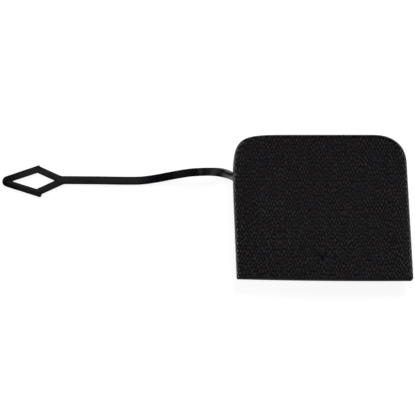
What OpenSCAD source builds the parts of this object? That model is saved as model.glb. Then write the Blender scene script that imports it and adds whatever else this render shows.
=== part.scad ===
// Cover for the towing-eye opening of a bumper, moulded in one piece: a face plate that
// follows the bumper skin, a skirt that bears on the ledge of the recess, two rigid hooks
// and a snap arm that grip behind the ledge, and a retaining strap with a diamond loop.
// It lies face up. X runs along its width, Y along its height and Z out of its face, and
// the origin is at the middle of the skirt's rim, on the plane that bears on the ledge.

/* [Face plate] */
// Width of the face at half its height
cover_w = 87.8; // [74:0.1:110]
// Height of the face from its lowest corner to its top edge
cover_h = 73.2; // [66:0.1:95]
// Wall of the face plate
wall = 2.5; // [2:0.1:3.5]
// Lean of the left side from upright, in degrees
lean_left = 2.3; // [0:0.1:5]
// Lean of the right side from upright, in degrees
lean_right = 3.35; // [0:0.05:5]
// Rise of the bottom edge from its right end to its left end
bottom_rise = 0.9; // [0:0.05:3]
// Outward bow of the bottom edge
bottom_bow = 0.35; // [0:0.05:1]
// Drop of the face from its middle to its left and right sides
crown_x = 1.2; // [0.2:0.1:3]
// Drop of the face from its middle to its top and bottom edges
crown_y = 0.8; // [0.2:0.1:3]

/* [Corners] */
// Length of the top left corner along the side
top_left_down = 38; // [10:0.5:40]
// Length of the top left corner along the top edge
top_left_along = 29; // [10:0.5:32]
// Length of the top right corner along the side
top_right_down = 14; // [8:0.5:30]
// Length of the top right corner along the top edge
top_right_along = 16; // [8:0.5:30]
// Length of the bottom right corner each way
bottom_right = 2; // [0.5:0.1:6]
// Length of the bottom left corner each way
bottom_left = 0.6; // [0.4:0.1:6]

/* [Edges] */
// Width of the rolled edge along the right side
roll_right = 4; // [1.5:0.1:6]
// Drop of the rolled edge along the right side
roll_right_drop = 2.4; // [1:0.1:3]
// Width of the rounded edge along the top
roll_top = 1.75; // [0.5:0.05:2.2]
// Width of the rounded edge along the left side
roll_left = 1.25; // [0.5:0.05:2.2]
// Width of the rounded edge along the bottom
roll_bottom = 1.5; // [0.5:0.05:2.2]
// Drop of the rounded top, left and bottom edges
roll_drop = 1.3; // [0.5:0.1:1.8]
// Length by which the right edge wraps below the plate
lip_right = 1.1; // [0:0.1:3]
// Wall of that wrapped edge
lip_wall = 1.3; // [0.8:0.1:1.8]

/* [Press mark] */
// Width of the recessed triangle that shows where to press
mark_w = 7.3; // [4:0.1:12]
// Height of the triangle
mark_h = 5; // [3:0.1:9]
// Depth of the triangle below the face
mark_depth = 0.5; // [0.2:0.1:1.2]
// Distance of the triangle's tip from the bottom edge
mark_up = 9.95; // [6:0.05:30]

/* [Skirt and ribs] */
// Depth of the skirt, from the plate at its middle to the rim
skirt_depth = 5; // [4:0.1:10]
// Distance of the skirt from the edge of the face
skirt_inset = 2.4; // [2:0.1:5]
// Wall of the skirt
skirt_wall = 1.6; // [1:0.1:2.5]
// Wall of the ribs and gussets
rib_wall = 1.2; // [0.8:0.1:2]
// Depth of the ribs below the plate at its middle
rib_depth = 3; // [2:0.1:3.8]
// Number of ribs that run up the face
rib_columns = 5; // [1:1:7]
// Number of ribs that run across the face
rib_rows = 3; // [1:1:5]

/* [Hooks] */
// Thickness of the bumper ledge that the hooks grip
ledge_t = 3; // [2:0.1:4]
// Clearance between the ledge and the hooks
ledge_clear = 0.2; // [0.1:0.05:0.5]
// Overlap of the ledge inside the skirt
ledge_lap = 1.5; // [1:0.1:3]
// Reach of the hooks over the ledge
hook_reach = 3; // [2:0.1:4]
// Thickness of the hooks
hook_t = 2.2; // [1.5:0.1:3]
// Depth of the hooks below the rim
hook_depth = 8; // [6.5:0.1:14]
// Height of the blunt end of each hook's nose
nose_h = 1; // [0.5:0.1:1.5]
// Width of each rigid hook
hook_w = 9; // [6:0.5:14]
// Distance between the middles of the rigid hooks
hook_pitch = 44; // [20:0.5:50]
// Width of the snap arm
snap_w = 16; // [8:0.5:24]
// Length of the gussets behind the rigid hooks
gusset_l = 6; // [3:0.5:9]

/* [Strap] */
// Width of the strap
strap_w = 4.1; // [3:0.1:6]
// Width of the strap at its root, where it flares
strap_root_w = 4.8; // [3.2:0.1:7]
// Thickness of the strap
strap_t = 2; // [1.2:0.1:2.1]
// Radius of the strap's long edges
strap_edge = 0.4; // [0.1:0.05:0.5]
// Height on the face at which the strap leaves the left side
strap_up = 16; // [6:0.5:20]
// Length of the strap from the left side of the cover to its loop
strap_reach = 85.15; // [70:0.05:140]
// Height of the bent strap's crest above the surface that the cover lies on
strap_crest = 8.9; // [5:0.1:14]

/* [Diamond loop] */
// Length of the hole in the loop
hole_l = 20.4; // [14:0.1:30]
// Width of the hole in the loop
hole_w = 8; // [5:0.1:14]
// Distance of the hole's widest place from its end by the strap
hole_peak = 9.1; // [5:0.1:13]
// Width of the loop's bars
bar_w = 3.5; // [2.5:0.1:5]
// Thickness of the loop
loop_t = 2.2; // [2:0.1:3]
// Radius of the loop's tip
tip_r = 2.45; // [1:0.05:3]
// Length of the catch on the loop's lower corner
catch_low = 2.1; // [0.6:0.1:3]
// Length of the catch on the loop's upper corner
catch_high = 0.7; // [0.6:0.1:3]
// Distance of the loop's middle from the strap's, towards the bottom of the face
loop_drop = 0.25; // [0:0.05:0.3]
// Turn of the loop about the strap's end, in degrees
loop_turn = 0.8; // [-5:0.1:5]

/* [Hidden] */

PLASTIC = [0.105, 0.1, 0.107];

// Sides are numbered 0 bottom, 1 right, 2 top and 3 left, and corner n starts side n.
ROLL_W = [roll_bottom, roll_right, roll_top, roll_left];
ROLL_D = [roll_drop, roll_right_drop, roll_drop, roll_drop];
EDGE_D = [wall, wall + lip_right, wall, wall];
BOW = [bottom_bow, 0, 0, 0];

// Each corner has its length before and after it, its fullness from 0 to 1, and its steps.
CORNER = [
    [bottom_left, bottom_left, 0.55, 3],
    [bottom_right, bottom_right, 0.55, 5],
    [top_right_down, top_right_along, 0.63, 12],
    [top_left_along, top_left_down, 1, 16],
];
SIDE_STEPS = [10, 6, 4, 4];
// Steps of the skirt's sides, which only the bow of the bottom edge needs
SKIRT_STEPS = [4, 1, 1, 1];
// A corner keeps this much of its length when an inset would use it up
LEAST_CORNER = 0.2;

top_y = cover_h / 2;
low_y = -cover_h / 2;
FACE = [
    [left_x(low_y + bottom_rise), low_y + bottom_rise],
    [right_x(low_y), low_y],
    [right_x(top_y), top_y],
    [left_x(top_y), top_y],
];

roll_steps = 5;
inner_rings = [0.82, 0.58, 0.32];
lip_draft = 0.4;
// Height that is well above the face and below the hooks, for cutting shapes to it
well_clear = 40;

rest_z = -hook_depth;

// The press mark, a little right of the middle, with its floor's share of its size
mark_x = 0.4;
mark_y = bottom_y(0) + mark_up + mark_h / 2;
mark_floor = 0.8;

// Heights and faces of the hooks, and the radii of their profile
grip_z = -ledge_t - ledge_clear;
skirt_face = skirt_inset + skirt_wall;
hook_face = skirt_face + ledge_lap;
tip_round = 0.6;
nose_round = 0.4;
back_round = 0.3;

// The strap's root hangs below the rim, so that the ledge fits between them.
root_gap = 2.15;
root_rise = hook_depth - root_gap - strap_root_w / 2;
flat_rise = loop_t / 2;
// The route of the bent strap: distance out from the left side, height on the face from
// where it leaves, and height above the surface that the cover lies on.
ROUTE = [
    [-10.5, -6.4, root_rise],
    [-6, -4.6, root_rise],
    [-1.8, -1.9, root_rise + 0.1],
    [2.4, 0.7, root_rise + 0.9],
    [7.2, 1.9, root_rise + 2.4],
    [12.2, 2.15, strap_crest - 0.8],
    [17, 2, strap_crest],
    [22.6, 1.6, strap_crest - 1.5],
    [30.6, 0.3, 0.45 * strap_crest + 0.4],
    [38.6, -1.2, flat_rise + 1.2],
    [46, -2.2, flat_rise + 0.2],
    [54, -2.35, flat_rise],
    [68, -2.15, flat_rise],
    [strap_reach, -2, flat_rise],
];
span_steps = 4;
// Distances out from the left side between which the strap rolls from on edge to flat
roll_from = -8;
roll_to = 13;
// The post round the strap's root: its length, its wall, and its hang below the root
post_l = 8.5;
post_wall = 0.6;
post_hang = 0.3;

// The loop's own outline starts at the strap's end and runs out along its first axis.
hole_at = 4.65;
stub_l = 2.2;
// The stub is narrower than the strap by this on each side, so that the strap covers it
stub_inset = 0.3;
stub_w = strap_w - 2 * stub_inset;
catch_slope = 0.4;
// Radii where the strap meets the loop, at its sharp inner corners and at its blunt ones
neck_r = 7;
sharp_r = 0.3;
blunt_r = 0.5;

function unit(v) = v / norm(v);
function mix(a, b, t) = a * (1 - t) + b * t;
function smooth(t) = let (c = min(1, max(0, t))) c * c * (3 - 2 * c);
function left_x(y) = -cover_w / 2 - y * tan(lean_left);
function right_x(y) = cover_w / 2 - y * tan(lean_right);

// Height of the bottom edge at a distance x across the face
function bottom_y(x) =
    let (t = (x - FACE[0].x) / (FACE[1].x - FACE[0].x))
    mix(FACE[0].y, FACE[1].y, t) - bottom_bow * 4 * t * (1 - t);

// Where two lines meet that lie at distances a and b from p along the normals m and n
function offset_meet(p, m, a, n, b) = p + [a * n.y - b * m.y, b * m.x - a * n.x] / cross(m, n);

// Direction of a side of the face and its normal into the face
function along(side) = unit(FACE[(side + 1) % 4] - FACE[side % 4]);
function inward(side) = let (d = along(side)) [-d.y, d.x];

function bezier(p, t) =
    pow(1 - t, 3) * p[0] + 3 * pow(1 - t, 2) * t * p[1]
    + 3 * (1 - t) * t * t * p[2] + pow(t, 3) * p[3];

// Value for a place on the outline, where 1.5 is halfway round the corner from side 1 to 2
function at_place(values, place) =
    let (side = floor(place), t = smooth(place - side))
    mix(values[side % 4], values[(side + 1) % 4], t);

// Corner n of the outline, inset by its own distance on each side. A corner shrinks with
// the inset so that its middle stays one inset away. Each point is [x, y, place].
function corner(n, inset) =
    let (
        before = (n + 3) % 4,
        p = offset_meet(FACE[n], inward(before), inset[before], inward(n), inset[n]),
        full = CORNER[n][2],
        shrink = 8 * (sqrt(2) - 1) / sqrt(2) / (4 - 3 * full),
        a = max(LEAST_CORNER, CORNER[n][0] - shrink * inset[n]),
        b = max(LEAST_CORNER, CORNER[n][1] - shrink * inset[before]),
        from = -along(before) * a,
        to = along(n) * b,
        steps = CORNER[n][3]
    )
    [
        for (s = [0 : steps])
            let (q = bezier([p + from, p + from * (1 - full), p + to * (1 - full), p + to], s / steps))
            [q.x, q.y, n + 3 + s / steps]
    ];

function flat_mix(a, b, t) = mix([a.x, a.y], [b.x, b.y], t);

// The points between two corners, on a side with its bow
function side_points(n, start, end, steps) = [
    for (s = [1 : 1 : steps - 1])
        let (
            t = s / steps,
            q = flat_mix(start, end, t) - inward(n) * BOW[n] * 4 * t * (1 - t)
        )
        [q.x, q.y, n + 4]
];

// The outline of the face, inset by its own distance on each side
function outline(inset, steps = SIDE_STEPS) =
    let (corners = [for (n = [0 : 3]) corner(n, inset)])
    [
        for (n = [0 : 3])
            let (here = corners[n], end = here[len(here) - 1])
            each concat(here, side_points(n, end, corners[(n + 1) % 4][0], steps[n]))
    ];
function even_outline(inset) = outline(all_sides(inset));
function flat(points) = [for (p = points) [p.x, p.y]];

// Height of the face above the rim
function face_z(p) =
    skirt_depth + wall - crown_x * pow(2 * p.x / cover_w, 2) - crown_y * pow(2 * p.y / cover_h, 2);

// A ring of points at depths below the face, one depth per side
function ring(points, depths) = [for (p = points) [p.x, p.y, face_z(p) - at_place(depths, p.z)]];
function shrunk(points, k) = [for (p = points) [p.x * k, p.y * k, p.z]];
// Rings inside an outline, the smallest first, at an even depth below the face
function inner(points, depth) = [
    for (i = [len(inner_rings) - 1 : -1 : 0])
        ring(shrunk(points, inner_rings[i]), all_sides(depth))
];
function all_sides(value) = [value, value, value, value];

// Ring of the rolled edge, from upright at 0 degrees to level with the face at 90
function roll_ring(angle) = ring(outline(ROLL_W * (1 - cos(angle))), ROLL_D * (1 - sin(angle)));

// A closed skin from one point over rings of points to another. Seen along the way that
// the rings advance, each ring runs counterclockwise.
module skin(start, rings, end) {
    n = len(rings[0]);
    last = len(rings) * n + 1;
    polyhedron(
        points = concat([start], [for (r = rings) each r], [end]),
        faces = concat(
            [for (j = [0 : n - 1]) [0, 1 + (j + 1) % n, 1 + j]],
            [
                for (r = [0 : len(rings) - 2], j = [0 : n - 1])
                    let (
                        a = 1 + r * n + j,
                        b = 1 + r * n + (j + 1) % n
                    )
                    each [[a, b, b + n], [a, b + n, a + n]]
            ],
            [for (j = [0 : n - 1]) [last - n + j, last - n + (j + 1) % n, last]]
        ),
        convexity = 6
    );
}

// Points of an outline whose corners are rounded, each to its own radius
function rounded(points, radii, steps = 5) = [
    for (i = [0 : len(points) - 1])
        let (
            n = len(points),
            p = points[i],
            r = radii[i],
            a = unit(points[(i + n - 1) % n] - p),
            b = unit(points[(i + 1) % n] - p),
            half = acos(a * b) / 2,
            middle = p + unit(a + b) * r / sin(half),
            from = p + a * r / tan(half) - middle,
            to = p + b * r / tan(half) - middle,
            sweep = 180 - 2 * half
        )
        each r == 0 ? [p] : [
            for (s = [0 : steps])
                middle + (from * sin(sweep * (1 - s / steps)) + to * sin(sweep * s / steps)) / sin(sweep)
        ]
];

// The face plate: crowned both ways, with rolled edges and an even wall
module face_plate() {
    face = outline(ROLL_W);
    back = even_outline(lip_wall + lip_draft);
    skin(
        [0, 0, face_z([0, 0])],
        concat(
            inner(face, 0),
            [for (s = [roll_steps : -1 : 0]) roll_ring(90 * s / roll_steps)],
            [ring(even_outline(0), EDGE_D), ring(even_outline(lip_wall), EDGE_D)],
            [ring(back, all_sides(wall))],
            [for (k = inner_rings) ring(shrunk(back, k), all_sides(wall))]
        ),
        [0, 0, face_z([0, 0]) - wall]
    );
}

// The space below the middle of the plate's wall, to which what stands on it is cut
module below_face() {
    edge = even_outline(lip_wall);
    skin(
        [0, 0, face_z([0, 0]) - wall / 2],
        concat(
            inner(edge, wall / 2),
            [ring(edge, all_sides(wall / 2))],
            [[for (p = edge) [p.x, p.y, -well_clear]]]
        ),
        [0, 0, -well_clear]
    );
}

// The triangle that shows where to press, with sloped walls, tip down
module press_mark() {
    half_w = mark_w / 2;
    half_h = mark_h / 2;
    translate([mark_x, mark_y, face_z([mark_x, mark_y]) - mark_depth])
        linear_extrude(2 * mark_depth, scale = 2 / mark_floor - 1)
            scale(mark_floor)
                polygon([[-half_w, half_h], [0, -half_h], [half_w, half_h]]);
}

// The wall that bears on the ledge of the bumper's recess
module skirt() {
    linear_extrude(skirt_depth + wall)
        difference() {
            polygon(flat(outline(all_sides(skirt_inset), SKIRT_STEPS)));
            polygon(flat(outline(all_sides(skirt_face), SKIRT_STEPS)));
        }
}

// The grid of stiffening ribs inside the skirt
module ribs() {
    intersection() {
        translate([0, 0, skirt_depth - rib_depth])
            linear_extrude(rib_depth + wall)
                polygon(flat(outline(all_sides(skirt_face - skirt_wall / 2), SKIRT_STEPS)));
        union() {
            for (i = [1 : rib_columns])
                translate([cover_w * (i / (rib_columns + 1) - 0.5) - rib_wall / 2, low_y, 0])
                    cube([rib_wall, cover_h, well_clear]);
            for (i = [1 : rib_rows])
                translate([-cover_w / 2, cover_h * (i / (rib_rows + 1) - 0.5) - rib_wall / 2, 0])
                    cube([cover_w, rib_wall, well_clear]);
        }
    }
}

// A hook that faces +Y, with its outer face at the origin: stem, nose and lead-in ramp
module hook(width) {
    profile = rounded(
        [
            [-hook_t, well_clear], [-hook_t, rest_z], [-tip_round, rest_z],
            [hook_reach, grip_z - nose_h], [hook_reach, grip_z], [0, grip_z], [0, well_clear],
        ],
        [0, back_round, tip_round, nose_round, nose_round / 2, nose_round, 0]
    );
    translate([-width / 2, 0, 0])
        rotate([90, 0, 90])
            linear_extrude(width)
                polygon(profile);
}

// A web behind a rigid hook, which tapers from the plate down its stem
module gusset() {
    rib_z = skirt_depth - rib_depth;
    translate([-rib_wall / 2, -hook_t / 2, 0])
        rotate([90, 0, 90])
            linear_extrude(rib_wall)
                polygon([[0, grip_z], [0, well_clear], [-gusset_l, well_clear], [-gusset_l, rib_z]]);
}

// The two stiff hooks under the top edge, which go in first
module rigid_hooks() {
    for (side = [-1, 1])
        translate([side * hook_pitch / 2, top_y - hook_face, 0]) {
            hook(hook_w);
            for (edge = [-1, 1])
                translate([edge * (hook_w - rib_wall) / 2, 0, 0])
                    gusset();
        }
}

// The flexible arm at the bottom, which snaps in behind the ledge below the press mark
module snap_arm() {
    translate([0, bottom_y(0) + hook_face, 0])
        rotate([0, 0, 180])
            hook(snap_w);
}

// Route point i in place
function route_point(i) = [-cover_w / 2 - ROUTE[i].x, ROUTE[i].y + strap_up, ROUTE[i].z + rest_z];

// A point between b and c on the smooth curve through a, b, c and d
function spline(a, b, c, d, t) =
    let (
        turn = 2 * a - 5 * b + 4 * c - d,
        twist = 3 * b - a - 3 * c + d
    )
    b + ((c - a) * t + turn * t * t + twist * pow(t, 3)) / 2;

// The smooth line of the strap, through all the points of its route
function strap_line() =
    let (
        n = len(ROUTE),
        mid = [for (i = [0 : n - 1]) route_point(i)],
        p = concat([2 * mid[0] - mid[1]], mid, [2 * mid[n - 1] - mid[n - 2]])
    )
    [
        for (i = [0 : n - 2], s = [0 : span_steps - 1])
            spline(p[i], p[i + 1], p[i + 2], p[i + 3], s / span_steps),
        mid[n - 1],
    ];

// The strap's section round the point at i on its line: flat along its run, and rolled
// until it stands on edge where it meets its post
function strap_ring(line, i, section) =
    let (
        p = line[i],
        t = unit(line[min(i + 1, len(line) - 1)] - line[max(i - 1, 0)]),
        out = -p.x - cover_w / 2,
        bent = 1 - smooth((out - roll_from) / (roll_to - roll_from)),
        roll = 90 * bent,
        flare = [mix(1, strap_root_w / strap_w, bent), 1],
        side = unit(cross(t, [0, 0, 1])),
        up = cross(side, t),
        across = side * cos(roll) + up * sin(roll),
        outward = up * cos(roll) - side * sin(roll)
    )
    [for (q = section) p + across * q.x * flare.x + outward * q.y * flare.y];

// The retaining strap, bent as it lies
module strap() {
    line = strap_line();
    w = strap_w / 2;
    t = strap_t / 2;
    section = rounded([[-w, -t], [w, -t], [w, t], [-w, t]], all_sides(strap_edge), 2);
    last = len(line) - 1;
    skin(line[0], [for (i = [0 : last]) strap_ring(line, i, section)], line[last]);
}

// The post inside the skirt that carries the strap's root
module strap_post() {
    root = route_point(0);
    next = route_point(1);
    heading = atan2(root.y - next.y, root.x - next.x);
    width = strap_t + 2 * post_wall;
    translate([root.x, root.y, 0])
        rotate([0, 0, heading])
            translate([-post_l / 2, -width / 2, root.z - strap_root_w / 2 - post_hang])
                cube([post_l, width, well_clear]);
}

// Outer corners of the loop on its upper half, from the strap's end to its tip. The edge
// by the tip runs on past its corner, as a catch that stops the loop from pulling back.
function loop_half(catch) =
    let (
        near = unit([hole_peak, hole_w / 2]),
        far = unit([hole_l - hole_peak, -hole_w / 2]),
        up_near = [-near.y, near.x],
        up_far = [-far.y, far.x],
        peak = offset_meet([hole_at + hole_peak, hole_w / 2], up_near, bar_w, up_far, bar_w),
        crest = peak - far * catch,
        foot_x = crest.x - catch_slope,
        foot = [foot_x, peak.y - (peak.x - foot_x) * near.y / near.x],
        neck = [foot.x - (foot.y - stub_w / 2) * near.x / near.y, stub_w / 2],
        tip = [peak.x + peak.y * far.x / -far.y, 0]
    )
    [[-stub_l, stub_w / 2], neck, foot, crest, tip];

// The diamond loop, pushed through a hole behind the bumper and held there by its catches
module diamond_loop() {
    upper = loop_half(catch_high);
    lower = [for (p = loop_half(catch_low)) [p.x, -p.y]];
    outer = rounded(
        concat(lower, [upper[3], upper[2], upper[1], upper[0]]),
        [0, neck_r, sharp_r, blunt_r, tip_r, blunt_r, sharp_r, neck_r, 0]
    );
    peak_x = hole_at + hole_peak;
    hole = rounded(
        [[hole_at, 0], [peak_x, -hole_w / 2], [hole_at + hole_l, 0], [peak_x, hole_w / 2]],
        [sharp_r, blunt_r, sharp_r, blunt_r]
    );
    end = route_point(len(ROUTE) - 1);
    translate([end.x, end.y - loop_drop, rest_z])
        rotate([0, 0, loop_turn])
            mirror([1, 0, 0])
                linear_extrude(loop_t)
                    difference() {
                        polygon(outer);
                        polygon(hole);
                    }
}

// The whole moulding
module cover() {
    color(PLASTIC)
        union() {
            difference() {
                face_plate();
                press_mark();
            }
            intersection() {
                union() {
                    skirt();
                    ribs();
                    rigid_hooks();
                    snap_arm();
                    strap_post();
                }
                below_face();
            }
            strap();
            diamond_loop();
        }
}

cover();
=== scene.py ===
"""Looks of a one-piece moulded cover for a bumper's towing eye, built round its frame.

The cover lies face up: X runs along its width, Y along its height and Z out of its face.
Sizes in the classes are in millimetres, and every mesh is made in metres.
"""

import logging
import math
from collections.abc import Callable, Iterator, Sequence
from contextlib import contextmanager
from dataclasses import dataclass, field
from enum import Enum, IntEnum

import bmesh
import bpy
import numpy as np
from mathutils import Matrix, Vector
from mathutils.kdtree import KDTree


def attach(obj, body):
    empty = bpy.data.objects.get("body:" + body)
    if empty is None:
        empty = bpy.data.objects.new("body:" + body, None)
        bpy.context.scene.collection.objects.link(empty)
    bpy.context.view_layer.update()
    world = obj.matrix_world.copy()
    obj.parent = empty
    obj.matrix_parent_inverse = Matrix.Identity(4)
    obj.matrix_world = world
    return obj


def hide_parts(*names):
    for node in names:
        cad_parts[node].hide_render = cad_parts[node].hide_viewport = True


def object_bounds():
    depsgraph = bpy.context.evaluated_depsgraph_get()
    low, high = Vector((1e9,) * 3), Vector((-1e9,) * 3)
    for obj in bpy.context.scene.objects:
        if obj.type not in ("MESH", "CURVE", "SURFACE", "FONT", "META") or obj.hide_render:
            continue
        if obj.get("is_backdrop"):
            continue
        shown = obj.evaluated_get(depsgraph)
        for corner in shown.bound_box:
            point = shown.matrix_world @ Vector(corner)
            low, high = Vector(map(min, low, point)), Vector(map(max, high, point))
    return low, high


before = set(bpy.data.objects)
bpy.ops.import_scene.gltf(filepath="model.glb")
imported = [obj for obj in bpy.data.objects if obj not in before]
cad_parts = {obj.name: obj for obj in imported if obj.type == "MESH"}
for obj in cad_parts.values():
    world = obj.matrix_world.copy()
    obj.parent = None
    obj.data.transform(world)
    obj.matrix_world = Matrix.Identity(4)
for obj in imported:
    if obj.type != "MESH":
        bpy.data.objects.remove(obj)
CAD_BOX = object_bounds()

MM = 0.001
log = logging.getLogger("cover")


class Side(IntEnum):
    """The four sides of the face, counterclockwise."""

    BOTTOM = 0
    RIGHT = 1
    TOP = 2
    LEFT = 3


class Texture(IntEnum):
    """How the mould's wall is finished. The value is the material's place on the mesh."""

    GRAINED = 0
    SMOOTH = 1


class Cut(Enum):
    """What one solid does to another."""

    ADD = "UNION"
    TAKE = "DIFFERENCE"
    KEEP = "INTERSECT"


# Modelling tools


def deselect() -> None:
    """Leaves edit mode and deselects every object."""
    if bpy.context.object is not None and bpy.context.object.mode != "OBJECT":
        bpy.ops.object.mode_set(mode="OBJECT")
    bpy.ops.object.select_all(action="DESELECT")


def pick(obj: bpy.types.Object) -> None:
    """Makes one object the selected and active one."""
    deselect()
    obj.select_set(True)
    bpy.context.view_layer.objects.active = obj


@contextmanager
def editing(obj: bpy.types.Object) -> Iterator[bmesh.types.BMesh]:
    """Opens an object in edit mode.

    Args:
        obj: the mesh to edit.

    Returns:
        The mesh as it is edited, with all of it selected.
    """
    pick(obj)
    bpy.ops.object.mode_set(mode="EDIT")
    bpy.ops.mesh.select_mode(type="VERT")
    bpy.ops.mesh.select_all(action="SELECT")
    yield bmesh.from_edit_mesh(obj.data)
    bpy.ops.object.mode_set(mode="OBJECT")


def turn_faces_out(obj: bpy.types.Object) -> None:
    """Makes all the faces of a closed mesh point outwards."""
    with editing(obj):
        bpy.ops.mesh.normals_make_consistent(inside=False)


def prism(name: str, outline: np.ndarray, run: Sequence[float]) -> bpy.types.Object:
    """Extrudes a flat outline into a solid.

    Args:
        name: the new object's name.
        outline: corners of the outline in order, one row of x, y, z each, in mm.
        run: the way and length of the extrusion, in mm.

    Returns:
        The closed solid.
    """
    deselect()
    bpy.ops.mesh.primitive_circle_add(vertices=len(outline), radius=1, fill_type="NGON")
    obj = bpy.context.active_object
    obj.name = name
    obj.data.vertices.foreach_set("co", (outline * MM).ravel())
    with editing(obj):
        bpy.ops.mesh.extrude_region_move(TRANSFORM_OT_translate={"value": tuple(MM * r for r in run)})
    turn_faces_out(obj)
    return obj


def bar(name: str, low: Sequence[float], high: Sequence[float]) -> bpy.types.Object:
    """Adds a straight bar between two opposite corners, in mm."""
    deselect()
    middle = [(a + b) / 2 * MM for a, b in zip(low, high)]
    bpy.ops.mesh.primitive_cube_add(size=1, location=middle)
    obj = bpy.context.active_object
    obj.name = name
    obj.scale = [(b - a) * MM for a, b in zip(low, high)]
    bpy.ops.object.transform_apply(location=True, rotation=True, scale=True)
    return obj


def ease(obj: bpy.types.Object, width: float, steps: int = 2, angle: float = 50) -> None:
    """Rounds an object's sharp edges.

    Args:
        obj: the solid.
        width: the width of the rounding, in mm.
        steps: the faces across it.
        angle: the least angle of an edge that counts as sharp, in degrees.
    """
    pick(obj)
    bevel = obj.modifiers.new("Ease", "BEVEL")
    bevel.width = width * MM
    bevel.segments = steps
    bevel.limit_method = "ANGLE"
    bevel.angle_limit = math.radians(angle)
    bevel.harden_normals = False
    bpy.ops.object.modifier_apply(modifier=bevel.name)


def combine(target: bpy.types.Object, tool: bpy.types.Object, cut: Cut) -> bpy.types.Object:
    """Joins a tool to a solid, or cuts the solid with it, and deletes the tool.

    Args:
        target: the solid that stays.
        tool: the solid that is used up.
        cut: what the tool does.

    Returns:
        The target.
    """
    pick(target)
    boolean = target.modifiers.new("Combine", "BOOLEAN")
    boolean.object = tool
    boolean.operation = cut.value
    boolean.solver = "MANIFOLD"
    bpy.ops.object.modifier_apply(modifier=boolean.name)
    bpy.data.objects.remove(tool, do_unlink=True)
    return target


def dress_all(obj: bpy.types.Object, texture: Texture) -> None:
    """Gives all of a solid's faces one texture."""
    places = np.full(len(obj.data.polygons), int(texture), dtype=np.int32)
    obj.data.polygons.foreach_set("material_index", places)


# Flat geometry


def unit(v: np.ndarray) -> np.ndarray:
    """The direction of a vector."""
    return v / np.linalg.norm(v)


def smooth(t: np.ndarray | float) -> np.ndarray | float:
    """An even rise from 0 to 1, level at both ends."""
    c = np.clip(t, 0, 1)
    return c * c * (3 - 2 * c)


def offset_meet(p: np.ndarray, m: np.ndarray, a: float, n: np.ndarray, b: float) -> np.ndarray:
    """Where two lines meet that lie at distances a and b from p along the normals m and n."""
    return p + np.array([a * n[1] - b * m[1], b * m[0] - a * n[0]]) / (m[0] * n[1] - m[1] * n[0])


def rounded(corners: Sequence[Sequence[float]], radii: Sequence[float], steps: int = 8) -> np.ndarray:
    """Rounds the corners of a flat outline.

    Args:
        corners: the outline's corners in order.
        radii: the radius at each corner, or 0 for a sharp one.
        steps: the edges round a corner.

    Returns:
        The points of the rounded outline.
    """
    points = [np.array(c, float) for c in corners]
    out: list[np.ndarray] = []
    for i, (p, r) in enumerate(zip(points, radii)):
        if r == 0:
            out.append(p)
            continue
        a = unit(points[i - 1] - p)
        b = unit(points[(i + 1) % len(points)] - p)
        half = math.acos(float(a @ b)) / 2
        middle = p + unit(a + b) * r / math.sin(half)
        start, end = p + a * r / math.tan(half) - middle, p + b * r / math.tan(half) - middle
        sweep = math.pi - 2 * half
        for s in range(steps + 1):
            t = s / steps
            out.append(middle + (start * math.sin(sweep * (1 - t)) + end * math.sin(sweep * t)) / math.sin(sweep))
    return np.array(out)


@dataclass(frozen=True)
class Corner:
    """A corner of the face: its length before and after it, and its fullness from 0 to 1."""

    before: float
    after: float
    fullness: float


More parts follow.
